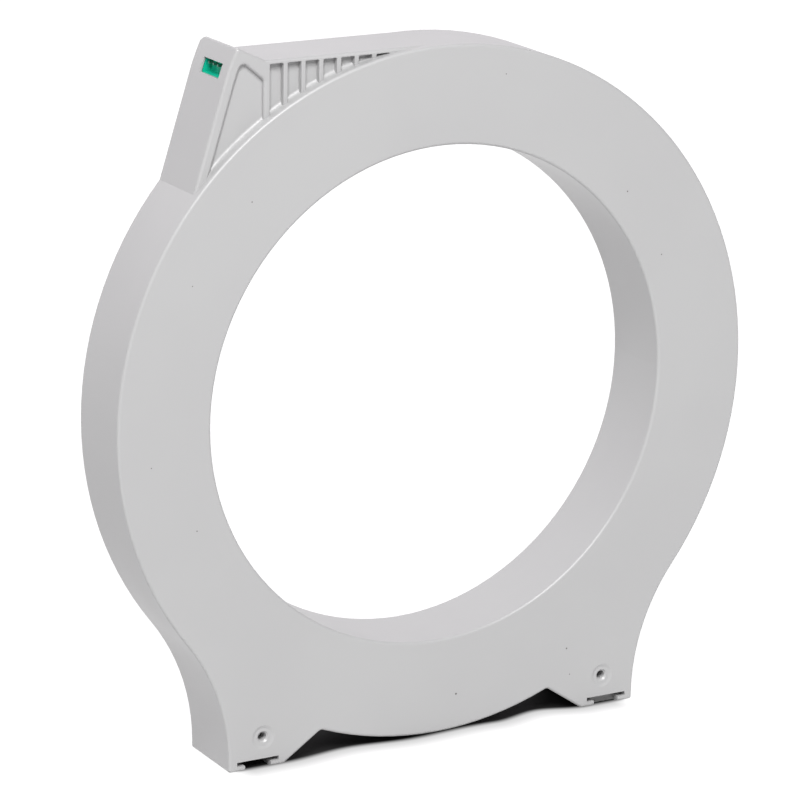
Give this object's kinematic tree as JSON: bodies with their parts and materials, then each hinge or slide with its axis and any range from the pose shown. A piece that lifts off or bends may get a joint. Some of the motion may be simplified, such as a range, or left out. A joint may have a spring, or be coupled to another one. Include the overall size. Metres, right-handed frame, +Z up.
{
  "type": "ring current transformer",
  "caption": "Ring-shaped measuring current transformer with a large cable bore, slotted mounting feet and a raised electronics module with a terminal socket.",
  "frame": {"origin": "centre of the cable bore, at half the ring's depth", "axes": "+X to the right seen from the front, +Y along the bore from front to rear, +Z up"},
  "size_m": [0.292, 0.035, 0.2989],
  "materials": {
    "housing": "fine satin moulded surface",
    "cover": "fine satin moulded surface",
    "screw": "zinc plated",
    "green_plastic": "satin",
    "contact": "tinned",
    "board": "lacquered laminate",
    "chip": "matt moulded",
    "ferrite": "matt",
    "capacitor": "drawn can",
    "socket": "satin",
    "core": "wound tape",
    "case": "satin",
    "copper": "enamelled wire",
    "tape": "polyester film",
    "shield": "rolled strip",
    "foam": "closed cell foam",
    "lead": "flexible sheath"
  },
  "bodies": {
    "root": {"front_housing": "housing", "rear_cover": "cover", "magnetic_core": "core", "core_case": "case", "core_case_lid": "case", "secondary_winding": "copper", "winding_wrap": "tape", "shield_band": "shield", "cushion_front": "foam", "cushion_rear": "foam", "circuit_board": "board", "terminal_header": "green_plastic", "processor_chip": "chip", "amplifier_chip": "chip", "isolating_transformer": "ferrite", "lead_socket": "socket", "foot_screw_left": "screw", "foot_screw_right": "screw", "cover_screw_1": "screw", "cover_screw_2": "screw", "cover_screw_3": "screw", "cover_screw_4": "screw", "cover_screw_5": "screw", "header_pin_1": "contact", "header_pin_2": "contact", "header_pin_3": "contact", "header_pin_4": "contact", "filter_capacitor_1": "capacitor", "filter_capacitor_2": "capacitor", "winding_lead_1": "lead", "winding_lead_2": "lead"}
  },
  "joints": []
}
